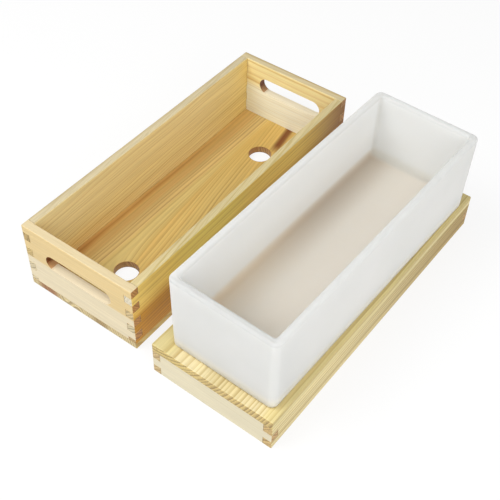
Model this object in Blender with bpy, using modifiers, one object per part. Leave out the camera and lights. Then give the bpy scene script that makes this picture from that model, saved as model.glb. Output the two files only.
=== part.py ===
"""Soap loaf mould: a finger-jointed pine box, its rimmed pine lid and a silicone liner.

The box stands at the origin. Its lid lies beside it, panel up, and the liner stands on the lid.
Units are metres, +Z is up and +Y runs along the box. Every loose piece has its own empty, and its
boards are parented to that.
"""
import math

import bmesh
import bpy
from mathutils import Vector

# Driving dimensions of the box.
BOX_LENGTH = 0.2828
BOX_WIDTH = 0.110
BOX_HEIGHT = 0.0656
BOARD = 0.0072            # thickness of every upright board
BASE_PANEL = 0.0065       # thickness of the panel under the box
FINGER = 0.0081           # height of one full finger in the box's corner joints
TOP_FINGER = 0.0070       # the end board's first finger, cut down by trimming the rim
EDGE_ROUND = 0.0008       # sanded rounding on the edges of the glued box and lid
GLUE_GAP = 0.0003         # room left between two pieces that touch

# Openings in the box.
PUSH_HOLE_RADIUS = 0.0103
PUSH_HOLE_CENTRES = ((0.0003, -0.0912), (0.0010, 0.0898))   # bored by eye, close to the middle line
HAND_SLOT_LENGTH = 0.066
NEAR_SLOT_BOTTOM = 0.0333   # above the surface the box stands on
NEAR_SLOT_HEIGHT = 0.0144
FAR_SLOT_BOTTOM = 0.0353
FAR_SLOT_HEIGHT = 0.0158

# The lid has nearly the box's own plan, with a panel glued on a finger-jointed rim.
LID_LENGTH = 0.2814
LID_WIDTH = 0.1082
LID_PANEL = 0.0075
LID_FINGER = 0.0082
LID_FINGERS = 3
LID_RIM = LID_FINGER * LID_FINGERS
LID_PLACE = Vector((0.1333, -0.0080, 0.0))
LID_TURN = math.radians(-0.7)

# The liner is a soft silicone tub, a little wider at its rim.
LINER_BASE_LENGTH = 0.2600
LINER_BASE_WIDTH = 0.0916
LINER_RIM_LENGTH = 0.2620
LINER_RIM_WIDTH = 0.0928
LINER_HEIGHT = 0.0726
LINER_WALL = 0.0060
LINER_FLOOR = 0.0135
LINER_CORNER = 0.0055       # outer radius of an upright corner
LINER_INNER_CORNER = 0.0025
LINER_LEFT_BOW = 0.0004      # how far the long walls bow out at the rim, half way along
LINER_RIGHT_BOW = 0.0002
LINER_FOOT_ROUND = 0.0020
LINER_RIM_ROUND = 0.0022
LINER_FLOOR_ROUND = 0.0050
LINER_PLACE = Vector((0.1377, -0.0103, 0.0))
LINER_TURN = math.radians(-1.45)

# Resolution of the round shapes.
ROUND_STEPS = 4
SIDE_STEPS = 8
WALL_STEPS = 4
HOLE_SIDES = 40
OVERSHOOT = 0.002           # how far a cutter runs past the faces it cuts

CREAM_PINE = (0.86, 0.71, 0.46)
GOLDEN_PINE = (0.78, 0.55, 0.25)
PALE_PINE = (0.88, 0.76, 0.50)
WHITE_SILICONE = (0.87, 0.87, 0.86)


def clear_scene():
    for item in list(bpy.data.objects):
        bpy.data.objects.remove(item, do_unlink=True)


def new_collection(name):
    collection = bpy.data.collections.new(name)
    bpy.context.scene.collection.children.link(collection)
    return collection


def new_material(name, colour, roughness):
    material = bpy.data.materials.new(name)
    material.use_nodes = True
    shader = material.node_tree.nodes["Principled BSDF"]
    shader.inputs["Base Color"].default_value = (*colour, 1.0)
    shader.inputs["Roughness"].default_value = roughness
    shader.inputs["Metallic"].default_value = 0.0
    return material


def new_place(name, location, turn, collection):
    """An empty that places one loose piece of the set."""
    place = bpy.data.objects.new(name, None)
    place.location = location
    place.rotation_euler = (0.0, 0.0, turn)
    collection.objects.link(place)
    return place


def new_object(name, mesh, place, collection):
    thing = bpy.data.objects.new(name, mesh)
    thing.parent = place
    collection.objects.link(thing)
    return thing


def blocks_mesh(name, corners):
    """One mesh of separate rectangular blocks, each given by its low and high corner."""
    shape = bmesh.new()
    for low, high in corners:
        low, high = Vector(low), Vector(high)
        made = bmesh.ops.create_cube(shape, size=1.0)
        bmesh.ops.scale(shape, vec=high - low, verts=made["verts"])
        bmesh.ops.translate(shape, vec=(high + low) / 2.0, verts=made["verts"])
    mesh = bpy.data.meshes.new(name)
    shape.to_mesh(mesh)
    shape.free()
    return mesh


def new_board(name, low, high, material, place, collection):
    """A board whose origin is at its own middle."""
    middle = (Vector(low) + Vector(high)) / 2.0
    mesh = blocks_mesh(name, [(Vector(low) - middle, Vector(high) - middle)])
    mesh.materials.append(material)
    board = new_object(name, mesh, place, collection)
    board.location = middle
    return board


def new_cutter(name, mesh, place, collection):
    cutter = new_object(name, mesh, place, collection)
    cutter.hide_render = True
    cutter.display_type = "WIRE"
    return cutter


def add_boolean(thing, cutter, operation):
    modifier = thing.modifiers.new(cutter.name, "BOOLEAN")
    modifier.operation = operation
    modifier.solver = "EXACT"
    modifier.object = cutter


def sanded_shape(name, size, hollow_low, hollow_high, place, collection):
    """The whole glued box or lid with its edges sanded round, which trims each board to it."""
    width, length, height = size
    block = blocks_mesh(name, [((-width / 2, -length / 2, 0.0), (width / 2, length / 2, height))])
    whole = new_cutter(name, block, place, collection)
    hollow = new_cutter(
        f"{name}_hollow", blocks_mesh(f"{name}_hollow", [(hollow_low, hollow_high)]), place, collection
    )
    add_boolean(whole, hollow, "DIFFERENCE")
    rounding = whole.modifiers.new("sanding", "BEVEL")
    rounding.width = EDGE_ROUND
    rounding.segments = 2
    rounding.limit_method = "ANGLE"
    return whole


def notch_mesh(name, width, length, bands, for_ends):
    """Blocks that clear the corner joints of an end board or a side board, band by band."""
    depth = BOARD + GLUE_GAP
    corners = []
    for bottom, top in bands:
        low_z, high_z = bottom - GLUE_GAP / 2, top + GLUE_GAP / 2
        for side in (-1, 1):
            if for_ends:
                reach = sorted((side * (width / 2 - depth), side * (width / 2 + OVERSHOOT)))
                low, high = (reach[0], -length, low_z), (reach[1], length, high_z)
            else:
                reach = sorted((side * (length / 2 - depth), side * (length / 2 + OVERSHOOT)))
                low, high = (-width, reach[0], low_z), (width, reach[1], high_z)
            corners.append((low, high))
    return blocks_mesh(name, corners)


def finger_bands(levels, end_board_first):
    """Splits the corner's height into the bands held by the end boards and by the side boards."""
    bands = list(zip(levels[1:], levels[:-1]))
    first, second = bands[0::2], bands[1::2]
    return (first, second) if end_board_first else (second, first)


def box_levels():
    """Heights of the finger faces of the box, from the rim down to the base panel."""
    levels = [BOX_HEIGHT + OVERSHOOT, BOX_HEIGHT - TOP_FINGER]
    while levels[-1] - FINGER > BASE_PANEL:
        levels.append(levels[-1] - FINGER)
    levels.append(BASE_PANEL - OVERSHOOT)
    return levels


def lid_levels():
    """Heights of the finger faces of the lid's rim, from its panel down."""
    levels = [LID_RIM - step * LID_FINGER for step in range(LID_FINGERS + 1)]
    levels[0] += OVERSHOOT
    levels[-1] -= OVERSHOOT
    return levels


def slot_mesh(name, height):
    """A round-ended slot across an end board, lying along X and running through along Y."""
    radius = height / 2.0
    reach = HAND_SLOT_LENGTH / 2.0 - radius
    steps = ROUND_STEPS * 4
    outline = []
    for side, first in ((1, -math.pi / 2), (-1, math.pi / 2)):
        for step in range(steps + 1):
            angle = first + math.pi * step / steps
            outline.append((side * reach + radius * math.cos(angle), radius * math.sin(angle)))
    shape = bmesh.new()
    ring = [shape.verts.new((x, -BOARD, z)) for x, z in outline]
    face = shape.faces.new(ring)
    moved = bmesh.ops.extrude_face_region(shape, geom=[face])
    verts = [item for item in moved["geom"] if isinstance(item, bmesh.types.BMVert)]
    bmesh.ops.translate(shape, vec=(0.0, 2.0 * BOARD, 0.0), verts=verts)
    bmesh.ops.recalc_face_normals(shape, faces=shape.faces)
    mesh = bpy.data.meshes.new(name)
    shape.to_mesh(mesh)
    shape.free()
    return mesh


def push_hole_mesh(name):
    """The two round holes in the base panel."""
    shape = bmesh.new()
    for x, y in PUSH_HOLE_CENTRES:
        made = bmesh.ops.create_cone(
            shape, cap_ends=True, segments=HOLE_SIDES, radius1=PUSH_HOLE_RADIUS,
            radius2=PUSH_HOLE_RADIUS, depth=BASE_PANEL + 2 * OVERSHOOT,
        )
        bmesh.ops.translate(shape, vec=(x, y, BASE_PANEL / 2), verts=made["verts"])
    mesh = bpy.data.meshes.new(name)
    shape.to_mesh(mesh)
    shape.free()
    return mesh


def make_rim_boards(prefix, size, bottom, top, bands, materials, place, parts, cutters):
    """Two long boards and two end boards, finger-jointed at their corners."""
    width, length = size
    end_bands, side_bands = bands
    end_notches = new_cutter(
        f"{prefix}_end_notches",
        notch_mesh(f"{prefix}_end_notches", width, length, side_bands, True), place, cutters,
    )
    side_notches = new_cutter(
        f"{prefix}_side_notches",
        notch_mesh(f"{prefix}_side_notches", width, length, end_bands, False), place, cutters,
    )
    boards = {}
    for name, side in (("left", -1), ("right", 1)):
        reach = sorted((side * width / 2, side * (width / 2 - BOARD)))
        low, high = (reach[0], -length / 2, bottom), (reach[1], length / 2, top)
        board = new_board(f"{prefix}_side_{name}", low, high, materials["side"], place, parts)
        add_boolean(board, side_notches, "DIFFERENCE")
        boards[name] = board
    for name, side in (("near", -1), ("far", 1)):
        reach = sorted((side * length / 2, side * (length / 2 - BOARD)))
        low, high = (-width / 2, reach[0], bottom), (width / 2, reach[1], top)
        board = new_board(f"{prefix}_end_{name}", low, high, materials["end"], place, parts)
        add_boolean(board, end_notches, "DIFFERENCE")
        boards[name] = board
    return boards


def make_box(materials, parts, cutters):
    place = new_place("box_place", (0.0, 0.0, 0.0), 0.0, parts)
    size = (BOX_WIDTH, BOX_LENGTH, BOX_HEIGHT)
    inner = (BOX_WIDTH / 2 - BOARD, BOX_LENGTH / 2 - BOARD)
    sanded = sanded_shape(
        "box_sanded", size, (-inner[0], -inner[1], BASE_PANEL),
        (inner[0], inner[1], BOX_HEIGHT + OVERSHOOT), place, cutters,
    )
    boards = make_rim_boards(
        "box", (BOX_WIDTH, BOX_LENGTH), BASE_PANEL + GLUE_GAP, BOX_HEIGHT,
        finger_bands(box_levels(), True), materials, place, parts, cutters,
    )
    slots = (
        ("near", -1, NEAR_SLOT_BOTTOM, NEAR_SLOT_HEIGHT),
        ("far", 1, FAR_SLOT_BOTTOM, FAR_SLOT_HEIGHT),
    )
    for name, side, bottom, height in slots:
        slot = new_cutter(f"{name}_slot", slot_mesh(f"{name}_slot", height), place, cutters)
        slot.location = (0.0, side * (BOX_LENGTH - BOARD) / 2, bottom + height / 2)
        add_boolean(boards[name], slot, "DIFFERENCE")
    panel = new_board(
        "box_base_panel", (-BOX_WIDTH / 2, -BOX_LENGTH / 2, 0.0),
        (BOX_WIDTH / 2, BOX_LENGTH / 2, BASE_PANEL), materials["panel"], place, parts,
    )
    holes = new_cutter("push_holes", push_hole_mesh("push_holes"), place, cutters)
    add_boolean(panel, holes, "DIFFERENCE")
    for board in (*boards.values(), panel):
        add_boolean(board, sanded, "INTERSECT")


def make_lid(materials, parts, cutters):
    place = new_place("lid_place", LID_PLACE, LID_TURN, parts)
    height = LID_RIM + LID_PANEL
    inner = (LID_WIDTH / 2 - BOARD, LID_LENGTH / 2 - BOARD)
    sanded = sanded_shape(
        "lid_sanded", (LID_WIDTH, LID_LENGTH, height), (-inner[0], -inner[1], -OVERSHOOT),
        (inner[0], inner[1], LID_RIM), place, cutters,
    )
    boards = make_rim_boards(
        "lid", (LID_WIDTH, LID_LENGTH), 0.0, LID_RIM - GLUE_GAP,
        finger_bands(lid_levels(), False), materials, place, parts, cutters,
    )
    panel = new_board(
        "lid_top_panel", (-LID_WIDTH / 2, -LID_LENGTH / 2, LID_RIM),
        (LID_WIDTH / 2, LID_LENGTH / 2, height), materials["panel"], place, parts,
    )
    for board in (*boards.values(), panel):
        add_boolean(board, sanded, "INTERSECT")


def arc_steps(centre, radius, first, last):
    """Points of an arc, as (inset, height) pairs, from one angle to another in degrees."""
    points = []
    for step in range(ROUND_STEPS + 1):
        angle = math.radians(first + (last - first) * step / ROUND_STEPS)
        points.append((centre[0] + radius * math.cos(angle), centre[1] + radius * math.sin(angle)))
    return points


def liner_profile():
    """The liner's wall as (inset from the outer face, height) pairs, from its foot to its floor."""
    foot, rim, fillet = LINER_FOOT_ROUND, LINER_RIM_ROUND, LINER_FLOOR_ROUND
    profile = arc_steps((foot, foot), foot, 270, 180)
    outer_top = LINER_HEIGHT - rim
    for step in range(1, WALL_STEPS):
        profile.append((0.0, foot + (outer_top - foot) * step / WALL_STEPS))
    profile += arc_steps((rim, outer_top), rim, 180, 90)
    profile += arc_steps((LINER_WALL - rim, outer_top), rim, 90, 0)
    inner_foot = LINER_FLOOR + fillet
    for step in range(1, WALL_STEPS):
        profile.append((LINER_WALL, outer_top + (inner_foot - outer_top) * step / WALL_STEPS))
    profile += arc_steps((LINER_WALL + fillet, inner_foot), fillet, 180, 270)
    return profile


def liner_ring(inset, height):
    """Points round the liner at one height: a rounded rectangle whose long sides bow out."""
    share = height / LINER_HEIGHT
    half_width = (LINER_BASE_WIDTH + (LINER_RIM_WIDTH - LINER_BASE_WIDTH) * share) / 2 - inset
    half_length = (LINER_BASE_LENGTH + (LINER_RIM_LENGTH - LINER_BASE_LENGTH) * share) / 2 - inset
    radius = max(LINER_CORNER - inset, LINER_INNER_CORNER)
    points = []
    for turn, (sx, sy) in enumerate(((1, 1), (-1, 1), (-1, -1), (1, -1))):
        centre = (sx * (half_width - radius), sy * (half_length - radius))
        for step in range(ROUND_STEPS + 1):
            angle = math.pi / 2 * (turn + step / ROUND_STEPS)
            points.append((centre[0] + radius * math.cos(angle), centre[1] + radius * math.sin(angle)))
        if turn in (1, 3):
            run = half_length - radius
            for step in range(1, SIDE_STEPS):
                points.append((sx * half_width, sy * run * (1 - 2 * step / SIDE_STEPS)))
    bowed = []
    for x, y in points:
        side_bow = LINER_LEFT_BOW if x < 0 else LINER_RIGHT_BOW
        bow = side_bow * share * (1 - (y / half_length) ** 2)
        bowed.append((x * (1 + bow / half_width), y, height))
    return bowed


def make_liner(material, parts):
    base = LID_RIM + LID_PANEL + GLUE_GAP
    place = new_place("liner_place", LINER_PLACE + Vector((0.0, 0.0, base)), LINER_TURN, parts)
    shape = bmesh.new()
    rings = []
    for inset, height in liner_profile():
        rings.append([shape.verts.new(point) for point in liner_ring(inset, height)])
    count = len(rings[0])
    for lower, upper in zip(rings, rings[1:]):
        for index in range(count):
            after = (index + 1) % count
            shape.faces.new((lower[index], lower[after], upper[after], upper[index]))
    shape.faces.new(list(reversed(rings[0])))
    shape.faces.new(rings[-1])
    mesh = bpy.data.meshes.new("silicone_liner")
    shape.to_mesh(mesh)
    shape.free()
    mesh.shade_smooth()
    mesh.set_sharp_from_angle(angle=math.radians(40))
    mesh.materials.append(material)
    new_object("silicone_liner", mesh, place, parts)


def main():
    clear_scene()
    parts = new_collection("soap_loaf_mould")
    cutters = new_collection("cutters")
    box_materials = {
        "side": new_material("box_side_pine", GOLDEN_PINE, 0.55),
        "end": new_material("box_end_pine", CREAM_PINE, 0.55),
        "panel": new_material("box_panel_pine", GOLDEN_PINE, 0.55),
    }
    lid_materials = {
        "side": new_material("lid_side_pine", PALE_PINE, 0.55),
        "end": new_material("lid_end_pine", CREAM_PINE, 0.55),
        "panel": new_material("lid_panel_pine", PALE_PINE, 0.55),
    }
    make_box(box_materials, parts, cutters)
    make_lid(lid_materials, parts, cutters)
    make_liner(new_material("liner_silicone", WHITE_SILICONE, 0.45), parts)


main()
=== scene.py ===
"""The looks of a soap loaf mould: sanded pine boards with finger joints, and a white silicone liner.

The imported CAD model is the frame. Its boards are kept and get a wood finish each; the liner is built again
as a finer mesh of the same size. Lengths are in metres, except in the finishes, which are in millimetres:
from the middle of the board for wood, and from the middle of the liner's underside for silicone.
"""

import math

import bmesh
import bpy
from mathutils import Matrix, Vector


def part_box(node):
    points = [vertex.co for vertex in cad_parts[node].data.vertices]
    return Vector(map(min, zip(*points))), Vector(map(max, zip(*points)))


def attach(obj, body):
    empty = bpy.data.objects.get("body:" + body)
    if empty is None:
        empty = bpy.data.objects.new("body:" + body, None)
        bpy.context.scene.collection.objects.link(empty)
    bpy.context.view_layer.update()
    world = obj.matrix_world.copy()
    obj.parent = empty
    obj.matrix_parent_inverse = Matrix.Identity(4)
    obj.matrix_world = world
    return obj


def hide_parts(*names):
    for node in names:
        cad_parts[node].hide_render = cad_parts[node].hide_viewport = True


MM = 0.001

# Camera: the view of the set from its right front, looking down.
CAMERA_PLACE = Vector((0.3620, -0.4336, 0.5636))
CAMERA_TARGET = Vector((0.0616, -0.0067, 0.0))
CAMERA_ROLL = math.radians(2.0)
CAMERA_LENS = 66.23
CAMERA_CLIP = 0.01

# Stage: a pale floor, plain surroundings and two soft lamps, as (name, place, target, size, power).
STAGE_HALF = 3.0
STAGE_GREY = (0.17, 0.17, 0.17, 1.0)
STAGE_GLOW = 0.82
WHITE = (1.0, 1.0, 1.0, 1.0)
WORLD_GLOW = 0.40
LAMPS = (
    ("key", (-0.36, -0.58, 1.14), (0.06, 0.0, 0.0), 0.8, 11.0),
    ("fill", (0.9, -0.6, 0.9), (0.06, 0.0, 0.03), 1.2, 10.0),
)

# How the lid and the liner lie on the floor, as in the CAD.
LID_TURN = math.radians(-0.7)
LINER_TURN = math.radians(-1.45)
LINER_PLACE = Vector((0.1377, -0.0103, 0.0324))

# Liner: the CAD's own sizes, with finer steps. Its rim, foot and floor are rounded, its rim is wider than its
# base, and its long sides bow out at the rim.
LINER_BASE = Vector((0.0916, 0.2600))
LINER_RIM = Vector((0.0928, 0.2620))
LINER_HEIGHT = 0.0726
LINER_WALL = 0.0060
LINER_FLOOR = 0.0135
LINER_CORNER = 0.0055
LINER_INNER_CORNER = 0.0025
LINER_LEFT_BOW = 0.0004
LINER_RIGHT_BOW = 0.0002
LINER_FOOT_ROUND = 0.0020
LINER_RIM_ROUND = 0.0022
LINER_FLOOR_ROUND = 0.0050
LINER_SHARP = math.radians(60)

# Steps in each quarter arc, up each wall and along each side, and the corners in turn as signs of (x, y).
ARC_STEPS = 8
WALL_STEPS = 16
LONG_SIDE_STEPS = 40
SHORT_SIDE_STEPS = 16
RING_TURNS = ((1, 1), (-1, 1), (-1, -1), (1, -1))

# Patterns in the wood: how fine each is along, across and through the grain, its shift and its detail.
PATTERNS = {
    "wander": ((0.010, 0.02, 0.02), 1.0, 2.0),
    "streaks": ((0.010, 0.7, 0.7), 5.0, 2.0),
    "fibre": ((0.05, 2.4, 2.4), 7.0, 3.0),
    "cloud": ((0.008, 0.06, 0.06), 9.0, 2.0),
    "fleck": ((0.18, 3.0, 3.0), 13.0, 1.0),
    "pores": ((0.4, 1.6, 1.6), 21.0, 2.0),
    "slant": ((0.03, 0.2, 0.2), 31.0, 2.0),
}

# How patterns change the wood: from one of their values to another, as a number from one to another.
CLOUD_SHADE = (0.2, 0.8, 0.94, 1.05)
STREAK_REACH = (0.25, 0.75)
FIBRE_SHADE = (0.2, 0.8, 0.93, 1.06)
FLECK_SHADE = (0.70, 0.80, 1.0, 0.86)
PORE_SHADE = (0.45, 0.75, 0.0, 0.45)
FIBRE_ROUGHNESS = (0.2, 0.8, 0.46, 0.60)

# How often the place of a line in a fan is refined.
FAN_ROUNDS = 3

# Growth rings: how fast their spacing changes, how strong the faintest ones are on faces and on end grain,
# how thin they are on end grain, and where in a ring its dark edge ends.
RING_WAVE = 0.12
FACE_FAINTEST = 0.45
END_FAINTEST = 0.7
END_SHARP = 1.5
RING_EDGE = (1.0, 0.82)

# How much a face points along the grain when it counts as end grain, and how much it points up when it counts
# as a top or no longer as a side.
CUT_FACE = (0.55, 0.85)
TOP_FACE = (0.6, 0.9)
SIDE_FACE = (0.5, 0.3)

# The streaks on the top edges of standing boards: their drift across for each millimetre along, their
# unevenness, their fineness and their contrast. The top edges begin at RIM_FROM above the board's middle.
RIM_SLOPE = 0.13
RIM_UNEVEN = 4.0
RIM_FINE = 0.45
RIM_CONTRAST = (0.42, 0.70)
RIM_FROM = (24.0, 26.0)

# The hand slot's reach from its board's middle, and the tints of the painted shade on its roof and left end,
# low and high up. Its floor and roof are told by how much they face up or down, and its ends by how much they
# face along.
SLOT_HALF_LENGTH = (34.5, 34.0)
SLOT_HALF_HEIGHT = (22.0, 21.0)
SLOT_FLOOR = (0.3, 0.6)
SLOT_RIGHT = (-0.3, -0.6)
SLOT_ROOF = (-0.5, -0.8)
SLOT_LEFT = (0.2, 0.5)
SLOT_SHADE_LOW = (0.82, 0.50, 0.26, 1.0)
SLOT_SHADE_HIGH = (0.40, 0.24, 0.15, 1.0)
SLOT_SHADE_HEIGHT = (-8.0, 4.0)

# How far below its seam a panel's edge is painted dark as painted shade in the joint, how far beyond its
# radius a round hole's wall is brown, and how deep in a board its outer half begins, which some boards tone
# down as painted shade.
SEAM_REACH = (1.3, 0.1)
SEAM_SHADE_TINT = (0.62, 0.56, 0.42, 1.0)
HOLE_REACH = (0.35, 0.1)
HOLE_TINT = (0.62, 0.43, 0.28, 1.0)
OUTER_HALF = (0.0, -3.0)

# Edges: their radius in metres, how finely they are looked for, how far the surface has turned there,
# and how pale they are along the grain, partly from wear and partly as a painted highlight.
ROUNDED_EDGE_RADIUS = 0.0007
ROUNDED_EDGE_SAMPLES = 4
ROUNDED_EDGE_TURN = (0.99, 0.85)
EDGE_WEAR_AND_HIGHLIGHT_LIFT = 1.07

# Surfaces: gloss is the specular level, and a bump is (strength, height in metres). The roughness goes from
# one number to another as the pattern in the surface does.
WOOD_GLOSS = 0.35
WOOD_BUMP = (0.35, 0.00015)
SILICONE_GLOSS = 0.2
SILICONE_BUMP = (0.12, 0.0001)
SILICONE_ROUGHNESS = (0.2, 0.8, 0.52, 0.62)

# How far light spreads inside the silicone, in metres, and the shares of red, green and blue in that.
SILICONE_DEPTH = 0.022
SILICONE_SPREAD = (1.0, 0.95, 0.9)

BOARD_ALONG_X = {"grain": Vector((1, 0, 0)), "width": Vector((0, 0, 1))}
BOARD_ALONG_Y = {"grain": Vector((0, 1, 0)), "width": Vector((0, 0, 1))}
PANEL_ALONG_Y = {"grain": Vector((0, 1, 0)), "width": Vector((1, 0, 0))}


class Shader:
    """Short ways to add nodes to one material. A value is a number, a tuple or another node's output."""

    def __init__(self, name):
        self.material = bpy.data.materials.new(name)
        self.material.use_nodes = True
        self.tree = self.material.node_tree
        self.tree.nodes.clear()

    def node(self, kind, **settings):
        made = self.tree.nodes.new(kind)
        for key, value in settings.items():
            setattr(made, key, value)
        return made

    def put(self, socket, value):
        if isinstance(value, bpy.types.NodeSocket):
            self.tree.links.new(value, socket)
        else:
            socket.default_value = value

    def math(self, operation, *values, clamp=False):
        made = self.node("ShaderNodeMath", operation=operation, use_clamp=clamp)
        for socket, value in zip(made.inputs, values):
            self.put(socket, value)
        return made.outputs[0]

    def vector(self, operation, *values):
        made = self.node("ShaderNodeVectorMath", operation=operation)
        for socket, value in zip(made.inputs, values):
            self.put(socket, value)
        return made.outputs["Value" if operation == "DOT_PRODUCT" else "Vector"]

    def mapped(self, vector, place=(0, 0, 0), turn=(0, 0, 0), scale=(1, 1, 1), kind="POINT"):
        made = self.node("ShaderNodeMapping", vector_type=kind)
        for socket, value in zip(made.inputs, (vector, place, turn, scale)):
            self.put(socket, value)
        return made.outputs[0]

    def split(self, vector):
        made = self.node("ShaderNodeSeparateXYZ")
        self.put(made.inputs[0], vector)
        return made.outputs[0], made.outputs[1], made.outputs[2]

    def joined(self, x, y, z):
        made = self.node("ShaderNodeCombineXYZ")
        for socket, value in zip(made.inputs, (x, y, z)):
            self.put(socket, value)
        return made.outputs[0]

    def noise(self, vector, scale=1.0, detail=2.0, rough=0.5):
        made = self.node("ShaderNodeTexNoise")
        self.put(made.inputs["Vector"], vector)
        self.put(made.inputs["Scale"], scale)
        self.put(made.inputs["Detail"], detail)
        self.put(made.inputs["Roughness"], rough)
        return made.outputs["Fac"]

    def noise_line(self, value, scale=1.0, detail=1.0):
        made = self.node("ShaderNodeTexNoise", noise_dimensions="1D")
        self.put(made.inputs["W"], value)
        self.put(made.inputs["Scale"], scale)
        self.put(made.inputs["Detail"], detail)
        return made.outputs["Fac"]

    def chance(self, value):
        made = self.node("ShaderNodeTexWhiteNoise", noise_dimensions="1D")
        self.put(made.inputs["W"], value)
        return made.outputs["Value"]

    def span(self, value, low, high, first=0.0, last=1.0, smooth=True):
        """The value's place between low and high, as a number from first to last."""
        kind = "SMOOTHSTEP" if smooth else "LINEAR"
        made = self.node("ShaderNodeMapRange", interpolation_type=kind)
        for socket, number in zip(made.inputs, (value, low, high, first, last)):
            self.put(socket, number)
        return made.outputs[0]

    def mix(self, amount, first, second, blend="MIX"):
        made = self.node("ShaderNodeMix", data_type="RGBA", blend_type=blend)
        self.put(made.inputs[0], amount)
        for socket, value in zip((made.inputs[6], made.inputs[7]), (first, second)):
            self.put(socket, value)
        return made.outputs[2]

    def bump(self, height, strength, distance):
        made = self.node("ShaderNodeBump")
        self.put(made.inputs["Height"], height)
        self.put(made.inputs["Strength"], strength)
        self.put(made.inputs["Distance"], distance)
        return made.outputs[0]

    def finish(self, **inputs):
        surface = self.node("ShaderNodeBsdfPrincipled")
        for name, value in inputs.items():
            self.put(surface.inputs[name.replace("_", " ")], value)
        output = self.node("ShaderNodeOutputMaterial")
        self.tree.links.new(surface.outputs[0], output.inputs[0])
        return self.material


def linear(red, green, blue):
    """A screen colour, from 0 to 255, as a shader takes it."""
    def one(value):
        share = value / 255
        return share / 12.92 if share <= 0.04045 else ((share + 0.055) / 1.055) ** 2.4
    return (one(red), one(green), one(blue), 1.0)


def band(low, high, colour, soft=2.0, amount=1.0, start=None, stop=None, fade=20.0, lines=1.0):
    """A tone that a board takes between two lines along it, from start to stop on its length.

    soft and fade are how wide its sides and its ends blur, and lines is how strong the rings are in it.
    """
    return {"low": low, "high": high, "soft": soft, "start": start, "stop": stop,
            "fade": fade, "colour": linear(*colour), "amount": amount, "lines": lines}


# Each board's wood, in millimetres from the board's middle: "across" goes up a board or to the right over a
# panel, and "deep" goes into it. Colours are screen values, and tints multiply the colour below them.
USUAL_WOOD = {
    # Tones along the face, from band(). fan is (slope, from, to): the lines past "to" run at that slope,
    # and those before "from" run straight.
    "bands": (), "fan": None,
    # How far the middle of the tree drifts for each millimetre along, how irregular the rings' spacing is,
    # in rings, and how far the rings sway.
    "slope": 0.0, "uneven": 1.0, "wander": 1.5,
    # How strong the ring lines are, how thin they are, and how strong the long streaks are.
    "clear": 0.4, "sharp": 2.2, "streaks": 0.07,
    # End grain: its ring spacing, the strength of its rings, how dark its own edge is, and its tones.
    "end_rings": 2.4, "end_clear": 0.9, "end_edge": 0.85, "end_tones": (),
    # A standing board's top edge: its colour, and the tint of its streaks.
    "rim": None, "rim_line": (0.92, 0.88, 0.80),
    # The colour of a hand slot's floor, painted pale as painted light, and the round holes as (across, along,
    # radius).
    "slot": None, "burnt": (),
    # How deep the seam above a panel's edge lies, where the joint is painted dark as painted shade, and a
    # tint of the outer face alone, painted shade that tones the outside down against an inner face painted
    # pale.
    "seam": None, "outside": None,
}
SCREEN_COLOURS = ("ground", "end", "end_line", "rim", "slot")
TINTS = ("line", "rim_line", "outside")


def board(kind, ground, line, pith, rings, end, end_line, seed, **own):
    """One board's wood: the usual values, then its own, with the colours made ready for a shader.

    ground is the face's colour, line the tint of a ring's dark edge, pith the middle of the tree as
    (across, deep), rings their spacing, end and end_line the end grain's colours, and seed its own chance.
    """
    look = {**kind, **USUAL_WOOD, "ground": ground, "line": line, "pith": pith, "rings": rings,
            "end": end, "end_line": end_line, "seed": seed, **own}
    for name in SCREEN_COLOURS:
        look[name] = look[name] and linear(*look[name])
    for name in TINTS:
        look[name] = look[name] and (*look[name], 1.0)
    return look


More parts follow.
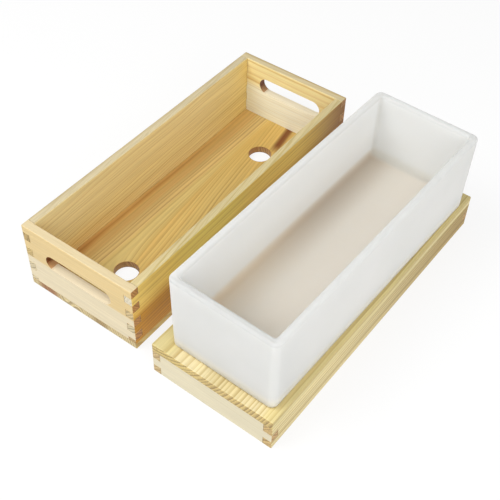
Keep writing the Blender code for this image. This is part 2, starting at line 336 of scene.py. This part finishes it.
BOARDS = {
    "box_base_panel": board(
        PANEL_ALONG_Y, (209, 182, 111), (0.48, 0.34, 0.20), pith=(-110.0, 30.0), rings=3.0,
        end=(226, 206, 152), end_line=(96, 66, 38), seed=1.0, uneven=0.5, fan=(0.155, -24.0, 0.0),
        clear=1.0, wander=1.2, sharp=2.4, streaks=0.08, seam=3.25,
        end_tones=(
            band(-46.0, -28.0, (174, 124, 82), soft=5.0),
            band(-10.0, 4.0, (184, 158, 106), soft=5.0),
        ),
        bands=(
            band(-60.0, -40.0, (222, 184, 112), soft=2.0, lines=0.5),
            # Painted shade: darker strips along the left wall, where the wall shades the floor.
            band(-46.0, -42.5, (190, 138, 74), soft=2.0, amount=0.8, stop=60.0, fade=60.0),
            band(-60.0, -34.0, (178, 120, 60), soft=9.0, amount=0.8, stop=-90.0, fade=50.0),
            band(-40.0, -33.0, (214, 178, 112), soft=1.5, lines=0.5),
            band(-33.0, -22.0, (214, 186, 122), soft=1.5, lines=1.5),
            band(-21.0, -14.0, (210, 188, 122), soft=3.0, lines=0.6),
            band(-11.0, -7.0, (206, 166, 92), soft=2.0, amount=0.4, stop=60.0, fade=40.0),
            band(-4.0, -1.0, (204, 166, 92), soft=2.0, amount=0.3, stop=30.0, fade=40.0),
            band(-20.0, 60.0, (214, 178, 98), soft=6.0, amount=0.7, start=70.0, fade=50.0, lines=0.6),
            band(20.0, 27.0, (128, 76, 34), soft=2.5, start=103.0, fade=8.0, lines=0.5),
        ),
        burnt=((0.3, -91.2, 10.3), (1.0, 89.8, 10.3)),
    ),
    # Painted light and shade: the ground is paler than the wood for the lit inner face, and the outside tint
    # tones the outer face down.
    "box_side_left": board(
        BOARD_ALONG_Y, (248, 230, 172), (0.66, 0.52, 0.34), pith=(36.0, -22.0), rings=2.4,
        outside=(0.86, 0.82, 0.74),
        end=(228, 214, 176), end_line=(96, 72, 30), seed=2.0, slope=0.06, uneven=1.2, wander=2.5,
        clear=0.8, sharp=1.6, rim=(208, 194, 158), streaks=0.06, end_rings=2.7,
        end_tones=(
            band(9.0, 25.0, (204, 174, 112), soft=0.5, lines=1.4),
            band(-7.0, 9.0, (222, 194, 128), soft=0.5),
        ),
        bands=(
            band(-60.0, -2.0, (252, 236, 176), soft=8.0, lines=1.5),
            band(-60.0, -14.0, (250, 226, 158), soft=8.0, stop=-50.0, fade=60.0),
            band(-60.0, 60.0, (246, 224, 150), start=100.0, fade=40.0),
        ),
    ),
    "box_side_right": board(
        BOARD_ALONG_Y, (254, 220, 118), (0.66, 0.51, 0.30), pith=(40.0, -30.0), rings=2.6,
        end=(230, 216, 176), end_line=(92, 66, 28), seed=3.0, slope=0.03, wander=1.0, clear=1.0,
        rim=(212, 196, 148), rim_line=(0.86, 0.80, 0.64), end_rings=2.7,
        end_tones=(
            band(9.0, 25.0, (236, 226, 198), soft=0.5, lines=0.5),
            band(-7.0, 9.0, (220, 196, 144), soft=0.5),
            band(-60.0, -23.0, (204, 172, 118), soft=0.5),
        ),
        bands=(
            band(-60.0, 5.0, (204, 148, 40), soft=9.0, lines=1.3),
            band(5.0, 60.0, (255, 232, 124), soft=9.0, start=-90.0, stop=-10.0, fade=25.0),
            band(5.0, 60.0, (240, 208, 114), soft=9.0, stop=-112.0, fade=16.0),
            # Painted shade: darker towards the far end, where the light falls off.
            band(-60.0, 60.0, (142, 84, 2), soft=6.0, start=104.0, fade=50.0),
        ),
    ),
    "box_end_near": board(
        BOARD_ALONG_X, (223, 197, 141), (0.82, 0.72, 0.56), pith=(70.0, -70.0), rings=3.0,
        end=(196, 144, 82), end_line=(112, 66, 32), seed=4.0, clear=0.35, wander=1.0, streaks=0.04,
        end_edge=0.55, rim=(218, 200, 160), rim_line=(0.98, 0.96, 0.92), slot=(235, 221, 189),
        bands=(band(-60.0, -2.4, (226, 212, 179), soft=0.8),),
    ),
    # Painted light and shade: the ground is paler than the wood for the lit inner face, and the outside tint
    # tones the outer face down.
    "box_end_far": board(
        BOARD_ALONG_X, (252, 255, 240), (0.74, 0.58, 0.36), pith=(70.0, -70.0), rings=3.0,
        outside=(0.80, 0.72, 0.58),
        end=(196, 144, 82), end_line=(112, 66, 32), seed=5.0, clear=0.55, wander=3.0, streaks=0.05,
        end_edge=0.55, rim=(213, 197, 156), slot=(240, 230, 200),
        bands=(band(4.0, 60.0, (252, 238, 180), soft=5.0, lines=2.4),),
    ),
    "lid_top_panel": board(
        PANEL_ALONG_Y, (222, 208, 164), (0.64, 0.53, 0.31), pith=(-55.0, -47.0), rings=2.9,
        end=(222, 196, 128), end_line=(98, 62, 18), seed=6.0, uneven=0.5, wander=0.6, clear=1.4, streaks=0.06,
        sharp=1.8, end_rings=2.9, end_clear=1.0,
        end_tones=(band(-60.0, -16.0, (228, 203, 128), soft=12.0),),
        bands=(
            band(-60.0, -36.0, (216, 202, 146), soft=4.0),
            band(-6.0, 26.0, (210, 195, 148), soft=10.0),
            band(45.0, 60.0, (222, 206, 148), soft=3.0, lines=0.8),
        ),
    ),
    "lid_side_left": board(
        BOARD_ALONG_Y, (226, 208, 156), (0.78, 0.67, 0.46), pith=(40.0, -30.0), rings=2.8,
        end=(214, 188, 134), end_line=(120, 84, 46), seed=7.0, clear=0.7,
    ),
    "lid_side_right": board(
        BOARD_ALONG_Y, (233, 216, 160), (0.52, 0.42, 0.24), pith=(40.0, -30.0), rings=3.3, streaks=0.12,
        end=(216, 186, 124), end_line=(110, 72, 34), seed=8.0, clear=1.2, sharp=1.8,
        # Painted shade: darker towards the far end, where the light falls off.
        bands=(band(-60.0, 60.0, (178, 150, 82), start=40.0, fade=130.0),),
    ),
    "lid_end_near": board(
        BOARD_ALONG_X, (221, 211, 181), (0.88, 0.80, 0.66), pith=(70.0, -70.0), rings=3.0,
        end=(206, 168, 108), end_line=(120, 78, 38), seed=9.0, clear=0.3, streaks=0.03,
    ),
    "lid_end_far": board(
        BOARD_ALONG_X, (229, 218, 184), (0.88, 0.80, 0.66), pith=(70.0, -70.0), rings=3.0,
        end=(196, 158, 92), end_line=(132, 90, 42), seed=10.0, clear=0.3, streaks=0.04,
    ),
}


def board_axes(node, look):
    """(middle, grain, turn as Euler) of a board's own axes: X along the grain, Y across, Z through it."""
    low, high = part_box(node)
    turn = Matrix.Rotation(LID_TURN if node.startswith("lid_") else 0.0, 3, "Z")
    grain = turn @ look["grain"]
    width = turn @ look["width"]
    axes = Matrix((grain, width, grain.cross(width))).transposed()
    return (low + high) / 2, grain, axes.to_euler("XYZ")


class Wood:
    """One board's place in the shader: along the grain, across it, and through the board."""

    def __init__(self, node, look):
        self.look = look
        self.shader = shader = Shader(node + "_pine")
        middle, grain, turn = board_axes(node, look)
        coordinates = shader.node("ShaderNodeTexCoord")
        normal = coordinates.outputs["Normal"]
        self.place = shader.mapped(coordinates.outputs["Object"], middle, turn, (MM, MM, MM), "TEXTURE")
        self.along, self.across, self.deep = shader.split(self.place)
        self.along_normal = shader.vector("DOT_PRODUCT", normal, tuple(grain))
        self.up_normal = shader.vector("DOT_PRODUCT", normal, (0.0, 0.0, 1.0))
        reach = look["wander"]
        wander = shader.span(self.noise("wander"), 0.2, 0.8, -reach, reach, smooth=False)
        self.line = shader.math("ADD", self.fanned(), wander)
        # From here on the patterns follow the grain.
        self.place = shader.joined(self.along, self.line, self.deep)

    def fanned(self):
        """How far across the grain a point is, once the lines that run at a slope are laid straight."""
        if not self.look["fan"]:
            return self.across
        lean, low, high = self.look["fan"]
        line = self.across
        for _ in range(FAN_ROUNDS):
            line = self.shader.math(
                "MULTIPLY_ADD", self.along, self.shader.span(line, low, high, 0.0, lean), self.across)
        return line

    def noise(self, pattern):
        """One of the patterns, at its own place in each board."""
        scale, shift, detail = PATTERNS[pattern]
        seed = self.look["seed"]
        offset = (7.3 * seed + shift, 3.1 * seed + 2 * shift, 5.7 * seed + 3 * shift)
        return self.shader.noise(self.shader.mapped(self.place, offset, (0, 0, 0), scale), detail=detail)

    def inside(self, tone):
        """1 inside a tone's lines and 0 outside them."""
        shader, soft = self.shader, tone["soft"]
        inside = shader.math(
            "MULTIPLY", shader.span(self.line, tone["low"] - soft, tone["low"] + soft),
            shader.span(self.line, tone["high"] + soft, tone["high"] - soft))
        for end, side in (("start", -1), ("stop", 1)):
            if tone[end] is not None:
                near, far = tone[end] - side * tone["fade"], tone[end] + side * tone["fade"]
                inside = shader.math("MULTIPLY", inside, shader.span(self.along, far, near))
        return shader.math("MULTIPLY", inside, tone["amount"])

    def toned(self, colour, clear, tones):
        """(colour, strength of the ring lines) with the tones laid over them."""
        shader = self.shader
        for tone in tones:
            inside = self.inside(tone)
            colour = shader.mix(inside, colour, tone["colour"])
            if tone["lines"] != 1.0:
                lines = shader.span(inside, 0.0, 1.0, 1.0, tone["lines"], smooth=False)
                clear = shader.math("MULTIPLY", clear, lines)
        return colour, clear

    def rings(self, spacing, sharp, faintest):
        """How dark the growth rings are at a point, from 0 to 1."""
        shader, look = self.shader, self.look
        middle, depth = look["pith"]
        middle = shader.math("MULTIPLY_ADD", self.along, look["slope"], middle)
        across = shader.math("SUBTRACT", self.line, middle)
        deep = shader.math("SUBTRACT", self.deep, depth)
        radius = shader.math("SQRT", shader.math(
            "ADD", shader.math("MULTIPLY", across, across), shader.math("MULTIPLY", deep, deep)))
        uneven = shader.noise_line(shader.math("ADD", radius, 40 * look["seed"]), scale=RING_WAVE)
        uneven = shader.span(uneven, 0.0, 1.0, -look["uneven"], look["uneven"], smooth=False)
        count = shader.math("MULTIPLY_ADD", radius, 1 / spacing, uneven)
        ring = shader.math("FRACT", count)
        number = shader.math("ADD", shader.math("FLOOR", count), 17 * look["seed"])
        strength = shader.span(shader.chance(number), 0.0, 1.0, faintest, 1.0, smooth=False)
        late = shader.math("MULTIPLY", shader.math("POWER", ring, sharp), shader.span(ring, *RING_EDGE))
        return shader.math("MULTIPLY", late, strength)


def tint(shader, amount, colour, by):
    """The colour multiplied by another, as far as amount says."""
    return shader.mix(amount, colour, shader.mix(1.0, colour, by, "MULTIPLY"))


def face_colour(wood):
    """The tones and ring lines of a board's long faces."""
    shader, look = wood.shader, wood.look
    rings = wood.rings(look["rings"], look["sharp"], FACE_FAINTEST)
    colour, clear = wood.toned(look["ground"], look["clear"], look["bands"])
    return rings, tint(shader, shader.math("MULTIPLY", rings, clear, clamp=True), colour, look["line"])


def end_colour(wood):
    """End grain: the rings cut across, with dark pores."""
    shader, look = wood.shader, wood.look
    rings = wood.rings(look["end_rings"], END_SHARP, END_FAINTEST)
    colour, clear = wood.toned(look["end"], look["end_clear"], look["end_tones"])
    colour = shader.mix(shader.span(wood.noise("pores"), *PORE_SHADE), colour, look["end_line"])
    return shader.mix(shader.math("MULTIPLY", rings, clear, clamp=True), colour, look["end_line"])


def rim_colour(wood, colour):
    """The top of a standing board, where the grain runs out in slanting streaks."""
    shader, look = wood.shader, wood.look
    slant = shader.math("MULTIPLY_ADD", wood.along, RIM_SLOPE, wood.deep)
    slant = shader.math("MULTIPLY_ADD", wood.noise("slant"), RIM_UNEVEN, slant)
    streaks = shader.noise_line(shader.math("ADD", slant, 70 * look["seed"]), scale=RIM_FINE, detail=2.0)
    streaked = tint(shader, shader.span(streaks, *RIM_CONTRAST), look["rim"], look["rim_line"])
    top = shader.math(
        "MULTIPLY", shader.span(wood.up_normal, *TOP_FACE), shader.span(wood.across, *RIM_FROM))
    return shader.mix(top, colour, streaked)


def slot_colour(wood, colour):
    """The hand slot: a floor and right end painted pale as painted light, and a roof and left end painted
    darker towards the top as painted shade.
    """
    shader = wood.shader
    within = shader.span(shader.math("ABSOLUTE", wood.along), *SLOT_HALF_LENGTH)
    high = shader.span(shader.math("ABSOLUTE", wood.across), *SLOT_HALF_HEIGHT)
    within = shader.math("MULTIPLY", within, high)
    floor = shader.span(wood.up_normal, *SLOT_FLOOR)
    right = shader.span(wood.along_normal, *SLOT_RIGHT)
    pale = shader.math("MULTIPLY", within, shader.math("MAXIMUM", floor, right))
    colour = shader.mix(pale, colour, wood.look["slot"])
    roof = shader.span(wood.up_normal, *SLOT_ROOF)
    left = shader.span(wood.along_normal, *SLOT_LEFT)
    dark = shader.math("MULTIPLY", within, shader.math("MAXIMUM", roof, left))
    # Painted shade: darker towards the slot's roof.
    painted_slot_shade = shader.mix(shader.span(wood.across, *SLOT_SHADE_HEIGHT), SLOT_SHADE_LOW, SLOT_SHADE_HIGH)
    return tint(shader, dark, colour, painted_slot_shade)


def seam_colour(wood, colour):
    """The edge of a panel, darker just below its seam as painted shade in the joint."""
    shader, seam = wood.shader, wood.look["seam"]
    low, high = SEAM_REACH
    side = shader.span(shader.math("ABSOLUTE", wood.up_normal), *SIDE_FACE)
    top = shader.span(wood.deep, seam - low, seam - high)
    return tint(shader, shader.math("MULTIPLY", side, top), colour, SEAM_SHADE_TINT)


def hole_colour(wood, colour, hole):
    """The wall of a round hole, browned by the cutter."""
    shader = wood.shader
    across, along, radius = hole
    away = shader.node("ShaderNodeVectorMath", operation="LENGTH")
    shader.put(away.inputs[0], shader.joined(
        shader.math("SUBTRACT", wood.along, along), shader.math("SUBTRACT", wood.across, across), 0.0))
    far, close = HOLE_REACH
    near = shader.span(away.outputs["Value"], radius + far, radius + close)
    return tint(shader, near, colour, HOLE_TINT)


def fibre_shade(wood, fibre):
    """Light and dark from clouds, streaks, fibres and flecks."""
    shader, reach = wood.shader, wood.look["streaks"]
    cloud = shader.span(wood.noise("cloud"), *CLOUD_SHADE)
    streaks = shader.span(wood.noise("streaks"), *STREAK_REACH, 1 - reach, 1 + reach)
    shade = shader.math("MULTIPLY", cloud, streaks)
    shade = shader.math("MULTIPLY", shade, shader.span(fibre, *FIBRE_SHADE))
    return shader.math("MULTIPLY", shade, shader.span(wood.noise("fleck"), *FLECK_SHADE))


def edge_shade(wood, cut):
    """Edges a little paler along the grain, partly from wear and partly as a painted highlight, and darker
    round end grain.
    """
    shader = wood.shader
    rounded_edge = shader.node("ShaderNodeBevel", samples=ROUNDED_EDGE_SAMPLES)
    shader.put(rounded_edge.inputs["Radius"], ROUNDED_EDGE_RADIUS)
    flat = shader.node("ShaderNodeNewGeometry")
    edge = shader.vector("DOT_PRODUCT", rounded_edge.outputs[0], flat.outputs["Normal"])
    lift = shader.span(cut, 0.0, 1.0, EDGE_WEAR_AND_HIGHLIGHT_LIFT, wood.look["end_edge"])
    return shader.span(edge, *ROUNDED_EDGE_TURN, 1.0, lift)


def pine(node, look):
    """Pine in a board's own axes: growth rings round its pith, fibres, tones across it and end grain."""
    wood = Wood(node, look)
    shader = wood.shader
    rings, colour = face_colour(wood)
    if look["rim"]:
        colour = rim_colour(wood, colour)
    # Painted shade: the outer half of a board toned down, against an inner face painted pale.
    if look["outside"]:
        colour = tint(shader, shader.span(wood.deep, *OUTER_HALF), colour, look["outside"])
    cut = shader.span(shader.math("ABSOLUTE", wood.along_normal), *CUT_FACE)
    colour = shader.mix(cut, colour, end_colour(wood))
    if look["seam"]:
        colour = seam_colour(wood, colour)
    if look["slot"]:
        colour = slot_colour(wood, colour)
    for hole in look["burnt"]:
        colour = hole_colour(wood, colour, hole)
    fibre = wood.noise("fibre")
    shade = shader.math("MULTIPLY", fibre_shade(wood, fibre), edge_shade(wood, cut))
    colour = shader.mix(1.0, colour, shader.joined(shade, shade, shade), "MULTIPLY")
    height = shader.math("ADD", shader.math("MULTIPLY", rings, 0.6), shader.math("MULTIPLY", fibre, 0.8))
    return shader.finish(
        Base_Color=colour, Roughness=shader.span(fibre, *FIBRE_ROUGHNESS),
        Specular_IOR_Level=WOOD_GLOSS, Normal=shader.bump(height, *WOOD_BUMP))


# Silicone colours, with painted light and shade in them. "under" is the floor's: left and right of its
# middle, near and far, and at the far fold, painted warm for the wood below and darker in places as painted
# shade.
SILICONE = {name: linear(*colour) for name, colour in {
    "outside": (206, 207, 204),
    "outside_pale": (211, 211, 209),
    # Painted light: the inner walls are paler than the outside of the same silicone.
    "inside": (231, 234, 234),
    "inside_far_painted_light": (219, 220, 218),
    # Painted shade: the rim is darker than the walls, most at its near and right sides, where the lamps light
    # it.
    "rim": (203, 204, 202),
    "rim_right_painted_shade": (198, 199, 197),
    "rim_near_painted_shade": (188, 189, 187),
    "under_left_near": (220, 206, 186),
    "under_left_far": (200, 187, 170),
    "under_right_near": (201, 193, 180),
    "under_right_far": (222, 214, 202),
    "under_fold": (211, 208, 200),
    # Painted light: a warm glow along the foot, lighter on the right.
    "foot": (230, 224, 208),
    "foot_right_painted_glow": (238, 232, 217),
}.items()}

# Where the silicone's colours change, in millimetres. x and y are from the middle, and z is the height.
INNER_X = (43.6, 42.6)
INNER_Y = (128.4, 127.4)
FAR_WALL_Y = (118.0, 123.0)
RIM_Z = (69.0, 71.6)
RIM_RIGHT_X = (38.0, 40.0)
RIM_NEAR_Y = (-126.0, -129.0)
FLOOR_Z = (23.0, 13.0)
FLOOR_X = (-38.0, -8.0)
FLOOR_LEFT_Y = (-60.0, 60.0)
FLOOR_RIGHT_Y = (-115.0, -40.0)
FLOOR_FOLD_Y = (116.0, 123.0)
FOOT_Z = (14.0, 0.0)
FOOT_RIGHT_X = (40.0, 45.0)
CLOUD_PLACE = (3.0, 1.0, 2.0)
CLOUD_FINE = (0.02, 0.02, 0.02)
CLOUD_CONTRAST = (0.2, 0.8)
GRAIN_FINE = 1.6


def floor_colour(shader, x, y):
    """The liner's floor, painted warm as painted light for the wood below showing through, and darker in
    places as painted shade.
    """
    left = shader.mix(
        shader.span(y, *FLOOR_LEFT_Y), SILICONE["under_left_near"], SILICONE["under_left_far"])
    right = shader.mix(
        shader.span(y, *FLOOR_RIGHT_Y), SILICONE["under_right_near"], SILICONE["under_right_far"])
    under = shader.mix(shader.span(x, *FLOOR_X), left, right)
    return shader.mix(shader.span(y, *FLOOR_FOLD_Y), under, SILICONE["under_fold"])


def silicone_colour(shader, place):
    """The outside, then the inner walls painted paler as painted light, the rim painted darker as painted
    shade, the floor and the foot's painted warm glow laid over it.
    """
    x, y, z = shader.split(place)
    within_x = shader.span(shader.math("ABSOLUTE", x), *INNER_X)
    within_y = shader.span(shader.math("ABSOLUTE", y), *INNER_Y)
    within = shader.math("MULTIPLY", within_x, within_y)
    cloud = shader.noise(shader.mapped(place, CLOUD_PLACE, (0, 0, 0), CLOUD_FINE))
    colour = shader.mix(shader.span(cloud, *CLOUD_CONTRAST), SILICONE["outside"], SILICONE["outside_pale"])
    # Painted light: the inner walls paler than the outside.
    walls = shader.mix(shader.span(y, *FAR_WALL_Y), SILICONE["inside"], SILICONE["inside_far_painted_light"])
    colour = shader.mix(within, colour, walls)
    # Painted shade: a darker rim.
    rim = shader.mix(shader.span(x, *RIM_RIGHT_X), SILICONE["rim"], SILICONE["rim_right_painted_shade"])
    rim = shader.mix(shader.span(y, *RIM_NEAR_Y), rim, SILICONE["rim_near_painted_shade"])
    colour = shader.mix(shader.span(z, *RIM_Z), colour, rim)
    # Painted light and shade on the floor: the warm tone of the wood below, and darker parts near the walls.
    floor = shader.math("MULTIPLY", within, shader.span(z, *FLOOR_Z))
    colour = shader.mix(floor, colour, floor_colour(shader, x, y))
    # Painted light: a warm glow up the foot's outside.
    foot = shader.math("MULTIPLY", shader.span(z, *FOOT_Z), shader.math("SUBTRACT", 1.0, within))
    lit = shader.mix(shader.span(x, *FOOT_RIGHT_X), SILICONE["foot"], SILICONE["foot_right_painted_glow"])
    return shader.mix(foot, colour, lit)


def silicone():
    """White satin silicone. Its foot and its floor are painted with the warm colour of the wood below:
    painted light that stands in for the wood showing through.
    """
    shader = Shader("white_silicone")
    coordinates = shader.node("ShaderNodeTexCoord")
    place = shader.mapped(
        coordinates.outputs["Object"], LINER_PLACE, (0, 0, LINER_TURN), (MM, MM, MM), "TEXTURE")
    grain = shader.noise(place, scale=GRAIN_FINE)
    return shader.finish(
        Base_Color=silicone_colour(shader, place), Roughness=shader.span(grain, *SILICONE_ROUGHNESS),
        Specular_IOR_Level=SILICONE_GLOSS, Subsurface_Weight=1.0, Subsurface_Radius=SILICONE_SPREAD,
        Subsurface_Scale=SILICONE_DEPTH, Normal=shader.bump(grain, *SILICONE_BUMP))


def arc(centre, radius, first, last):
    """Points of an arc in the wall's profile, as (inset, height), from angle first to last in degrees."""
    points = []
    for step in range(ARC_STEPS + 1):
        angle = math.radians(first + (last - first) * step / ARC_STEPS)
        points.append((centre[0] + radius * math.cos(angle), centre[1] + radius * math.sin(angle)))
    return points


def between(inset, first, last):
    """Points along a wall in the profile, from one height to another, without the two ends."""
    return [(inset, first + (last - first) * step / WALL_STEPS) for step in range(1, WALL_STEPS)]


def liner_profile():
    """The liner's wall as (inset from the outer face, height) pairs, from its foot to its floor."""
    foot, rim, fillet = LINER_FOOT_ROUND, LINER_RIM_ROUND, LINER_FLOOR_ROUND
    outer_top = LINER_HEIGHT - rim
    inner_foot = LINER_FLOOR + fillet
    profile = arc((foot, foot), foot, 270, 180)
    profile += between(0.0, foot, outer_top)
    profile += arc((rim, outer_top), rim, 180, 90)
    profile += arc((LINER_WALL - rim, outer_top), rim, 90, 0)
    profile += between(LINER_WALL, outer_top, inner_foot)
    profile += arc((LINER_WALL + fillet, inner_foot), fillet, 180, 270)
    return profile


def rounded_rectangle(half, radius):
    """Points round a rounded rectangle, from its far right corner to the left."""
    points = []
    for turn, (side, end) in enumerate(RING_TURNS):
        centre = Vector((side * (half.x - radius), end * (half.y - radius)))
        for step in range(ARC_STEPS + 1):
            angle = math.pi / 2 * (turn + step / ARC_STEPS)
            points.append(centre + radius * Vector((math.cos(angle), math.sin(angle))))
        side, end = RING_TURNS[(turn + 1) % len(RING_TURNS)]
        following = Vector((side * (half.x - radius), end * (half.y - radius)))
        angle = math.pi / 2 * (turn + 1)
        outward = radius * Vector((math.cos(angle), math.sin(angle)))
        steps = LONG_SIDE_STEPS if turn in (1, 3) else SHORT_SIDE_STEPS
        for step in range(1, steps):
            points.append(centre.lerp(following, step / steps) + outward)
    return points


def liner_ring(inset, height):
    """Points round the liner at one height: a rounded rectangle whose long sides bow out."""
    share = height / LINER_HEIGHT
    half = (LINER_BASE + (LINER_RIM - LINER_BASE) * share) / 2 - Vector((inset, inset))
    bowed = []
    for point in rounded_rectangle(half, max(LINER_CORNER - inset, LINER_INNER_CORNER)):
        side = LINER_LEFT_BOW if point.x < 0 else LINER_RIGHT_BOW
        bow = side * share * (1 - (point.y / half.y) ** 2)
        bowed.append((point.x * (1 + bow / half.x), point.y, height))
    return bowed


def make_liner():
    """The liner's skin: rings joined from its foot over its rim to its floor, closed at both ends."""
    shape = bmesh.new()
    rings = [[shape.verts.new(point) for point in liner_ring(*place)] for place in liner_profile()]
    count = len(rings[0])
    for ring, following in zip(rings, rings[1:]):
        for index in range(count):
            after = (index + 1) % count
            shape.faces.new((ring[index], ring[after], following[after], following[index]))
    shape.faces.new(list(reversed(rings[0])))
    shape.faces.new(rings[-1])
    bmesh.ops.recalc_face_normals(shape, faces=shape.faces)
    mesh = bpy.data.meshes.new("liner_body")
    shape.to_mesh(mesh)
    shape.free()
    mesh.transform(Matrix.Translation(LINER_PLACE) @ Matrix.Rotation(LINER_TURN, 4, "Z"))
    mesh.shade_smooth()
    mesh.set_sharp_from_angle(angle=LINER_SHARP)
    mesh.materials.append(silicone())
    liner = bpy.data.objects.new("liner_body", mesh)
    bpy.context.scene.collection.objects.link(liner)
    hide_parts("silicone_liner")
    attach(liner, "liner")


def make_floor():
    mesh = bpy.data.meshes.new("floor")
    corners = [(x * STAGE_HALF, y * STAGE_HALF, 0) for x, y in ((-1, -1), (1, -1), (1, 1), (-1, 1))]
    mesh.from_pydata(corners, [], [(0, 1, 2, 3)])
    mesh.materials.append(Shader("floor_white").finish(
        Base_Color=STAGE_GREY, Roughness=0.9, Specular_IOR_Level=0.0,
        Emission_Color=WHITE, Emission_Strength=STAGE_GLOW))
    floor = bpy.data.objects.new("floor", mesh)
    bpy.context.scene.collection.objects.link(floor)


def make_lamp(name, place, target, size, power):
    light = bpy.data.lights.new(name, "AREA")
    light.shape = "SQUARE"
    light.size = size
    light.energy = power
    lamp = bpy.data.objects.new(name, light)
    lamp.location = place
    lamp.rotation_euler = (Vector(target) - Vector(place)).to_track_quat("-Z", "Y").to_euler()
    bpy.context.scene.collection.objects.link(lamp)


def make_world():
    world = bpy.data.worlds.new("studio")
    world.use_nodes = True
    background = world.node_tree.nodes["Background"]
    background.inputs["Color"].default_value = WHITE
    background.inputs["Strength"].default_value = WORLD_GLOW
    bpy.context.scene.world = world


def make_camera():
    camera = bpy.data.objects.new("camera", bpy.data.cameras.new("camera"))
    camera.data.lens = CAMERA_LENS
    camera.data.clip_start = CAMERA_CLIP
    camera.location = CAMERA_PLACE
    level = (CAMERA_TARGET - CAMERA_PLACE).to_track_quat("-Z", "Y").to_matrix()
    camera.rotation_euler = (level @ Matrix.Rotation(CAMERA_ROLL, 3, "Z")).to_euler()
    bpy.context.scene.collection.objects.link(camera)
    bpy.context.scene.camera = camera


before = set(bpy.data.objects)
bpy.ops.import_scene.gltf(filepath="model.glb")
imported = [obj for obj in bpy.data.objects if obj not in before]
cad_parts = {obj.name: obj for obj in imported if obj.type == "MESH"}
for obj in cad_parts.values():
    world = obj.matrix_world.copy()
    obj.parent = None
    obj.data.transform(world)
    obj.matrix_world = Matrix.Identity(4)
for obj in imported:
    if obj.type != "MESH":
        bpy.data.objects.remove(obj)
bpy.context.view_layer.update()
for node, look in BOARDS.items():
    material = pine(node, look)
    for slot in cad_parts[node].material_slots:
        slot.material = material
make_liner()
make_floor()
for lamp in LAMPS:
    make_lamp(*lamp)
make_world()
make_camera()
bpy.context.scene.view_settings.view_transform = "Standard"
